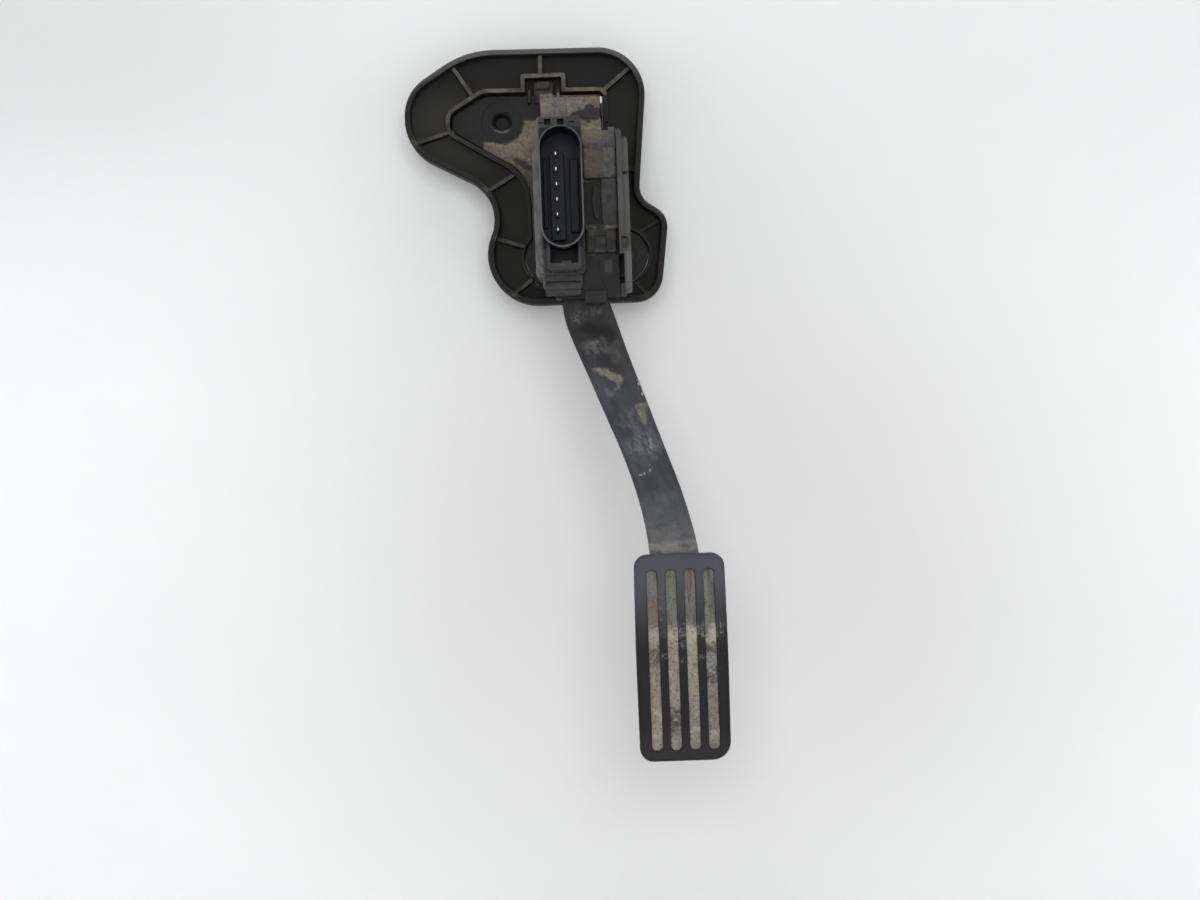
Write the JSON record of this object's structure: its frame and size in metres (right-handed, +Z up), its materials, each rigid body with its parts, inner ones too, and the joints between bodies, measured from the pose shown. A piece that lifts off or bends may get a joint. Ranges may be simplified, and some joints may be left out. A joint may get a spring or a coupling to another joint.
{
  "type": "accelerator pedal",
  "caption": "Hanging accelerator pedal: kidney-shaped surround plate, hub housing with position sensor and plug socket, slanted arm and grooved rubber pad on a sprung hinge.",
  "frame": {"origin": "on the flat back of the housing, where it meets the bulkhead, in front of the pedal hub", "axes": "+Z up as fitted, +Y through the bulkhead away from the driver, +X to the driver's right"},
  "size_m": [0.1254, 0.082, 0.2939],
  "materials": {
    "plate_plastic": "matte moulded",
    "housing_plastic": "matte moulded",
    "sensor_plastic": "matte moulded",
    "arm_plastic": "satin moulded",
    "pad_rubber": "matte",
    "soft_rubber": "matte",
    "bush_plastic": "matte",
    "steel": "ground",
    "spring_steel": "drawn wire",
    "brass": "turned",
    "tinned": "tin plated",
    "board": "coated",
    "chip": "matte"
  },
  "bodies": {
    "housing": {"backing_plate": "plate_plastic", "pedal_housing": "housing_plastic", "side_cover": "housing_plastic", "sensor_housing": "sensor_plastic", "sensor_seal": "soft_rubber", "circuit_board": "board", "sensor_chip": "chip", "contact_pins": "tinned", "threaded_inserts": "brass", "left_bush": "bush_plastic", "right_bush": "bush_plastic", "idle_stop": "soft_rubber", "full_travel_stop": "soft_rubber", "return_spring_outer": "spring_steel", "return_spring_inner": "spring_steel"},
    "pedal": {"pedal_arm": "arm_plastic", "pedal_pad": "pad_rubber", "pivot_pin": "steel", "sensor_rotor": "bush_plastic", "rotor_target": "steel"},
    "shoe": {"friction_shoe": "bush_plastic"}
  },
  "joints": [
    {"name": "pedal", "type": "hinge", "parent": "housing", "child": "pedal", "pos_m": [0, -0.031, -0.004], "axis": [1, 0, 0], "range_deg": [0, 16], "stiffness_Nm_per_rad": 10, "springref_deg": -12.61, "deforming": ["return_spring_outer", "return_spring_inner"]},
    {"name": "shoe_slide", "type": "slide", "parent": "housing", "child": "shoe", "axis": [0, 0, 1], "range_m": [0, 0.0048]}
  ],
  "couplings": [
    {"joint": "shoe_slide", "follows": "pedal", "m_per_rad": 0.016945}
  ]
}
